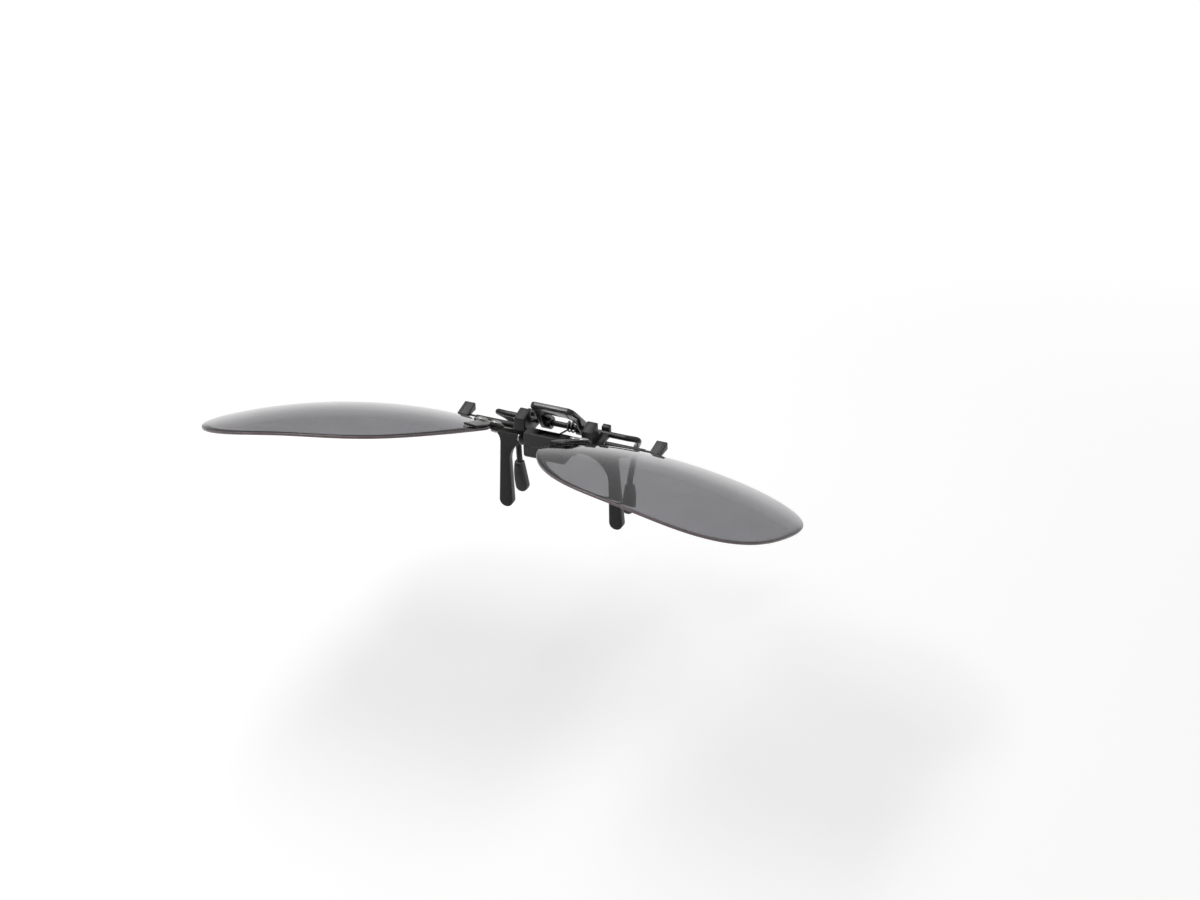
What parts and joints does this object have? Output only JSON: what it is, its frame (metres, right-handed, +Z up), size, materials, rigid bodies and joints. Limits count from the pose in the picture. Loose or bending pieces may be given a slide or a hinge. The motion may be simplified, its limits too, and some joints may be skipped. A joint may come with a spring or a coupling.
{
  "type": "flip-up clip-on sunglasses",
  "caption": "Flip-up clip-on sunglasses: rimless grey lenses on a flip hinge over the nose, with a sprung thumb-lever clamp and rubber-tipped hooks that grip spectacles",
  "frame": {"origin": "On the mid-plane, on the back face of the front jaw's legs, level with the undersides of the rim hooks", "axes": "+X to the right as seen from the front, +Y back towards the wearer, +Z up as worn"},
  "size_m": [0.1414, 0.0638, 0.0439],
  "materials": {
    "satin_black": "satin moulded black",
    "black_wire": "satin black coated metal",
    "grip_rubber": "matte dark grey rubber",
    "gloss_black": "polished black",
    "bright_steel": "bright metal",
    "spring_steel": "dark drawn spring steel",
    "grey_lens": "polished tinted grey, see-through"
  },
  "bodies": {
    "clip": {"front_jaw": "satin_black", "hinge_cradle": "satin_black", "left_ear_block": "satin_black", "right_ear_block": "satin_black", "left_hook_arm": "black_wire", "right_hook_arm": "black_wire", "left_rim_hook": "grip_rubber", "right_rim_hook": "grip_rubber", "detent_spring": "spring_steel", "right_torsion_spring": "spring_steel"},
    "rear_jaw": {"rear_jaw_wire": "black_wire", "left_rear_pad": "grip_rubber", "right_rear_pad": "grip_rubber", "thumb_lever": "gloss_black"},
    "lens_carrier": {"flip_bridge": "satin_black", "flip_pin": "bright_steel", "left_lens_bracket": "black_wire", "right_lens_bracket": "black_wire", "left_bracket_rivet": "bright_steel", "right_bracket_rivet": "bright_steel", "left_lens_rivet": "bright_steel", "right_lens_rivet": "bright_steel", "left_sun_lens": "grey_lens", "right_sun_lens": "grey_lens"}
  },
  "joints": [
    {"name": "flip_hinge", "type": "hinge", "parent": "clip", "child": "lens_carrier", "pos_m": [0, -0.0063, 0.001], "axis": [1, 0, 0], "range_deg": [0, 111]},
    {"name": "clamp_hinge", "type": "hinge", "parent": "clip", "child": "rear_jaw", "pos_m": [0, 0.003, 0.0006], "axis": [1, 0, 0], "range_deg": [-11, 20], "stiffness_Nm_per_rad": 0.12, "deforming": ["right_torsion_spring"]}
  ]
}
